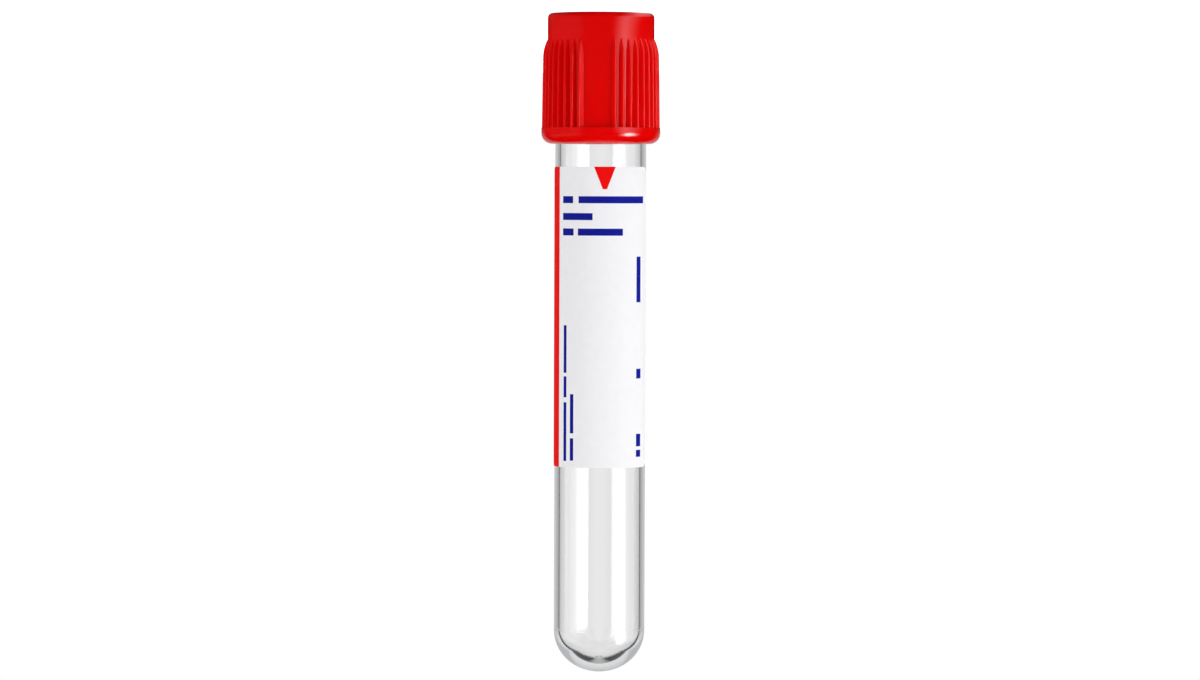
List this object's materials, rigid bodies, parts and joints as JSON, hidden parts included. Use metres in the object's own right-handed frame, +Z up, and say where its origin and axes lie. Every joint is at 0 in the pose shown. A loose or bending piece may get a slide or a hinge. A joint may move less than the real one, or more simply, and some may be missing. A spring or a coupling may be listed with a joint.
{
  "type": "blood collection tube",
  "caption": "Clear round-bottomed plastic tube with a wrap label, closed by a ribbed red pull-off shield over a rubber stopper.",
  "frame": {"origin": "on the tube's axis, in the flat end of its closure, which the part stands on", "axes": "+Z up along the tube towards its round end; -Y out of the middle of the label"},
  "size_m": [0.017, 0.017, 0.0945],
  "materials": {
    "clear_pet": "clear gloss",
    "label_paper": "smooth coated paper",
    "butyl_rubber": "matte",
    "red_polypropylene": "semi-gloss"
  },
  "bodies": {
    "closure": {"shield": "red_polypropylene", "stopper": "butyl_rubber"},
    "tube_body": {"tube": "clear_pet", "label": "label_paper"}
  },
  "joints": [
    {"name": "closure_pull", "type": "slide", "parent": "closure", "child": "tube_body", "axis": [0, 0, 1], "range_m": [0, 0.02]}
  ]
}
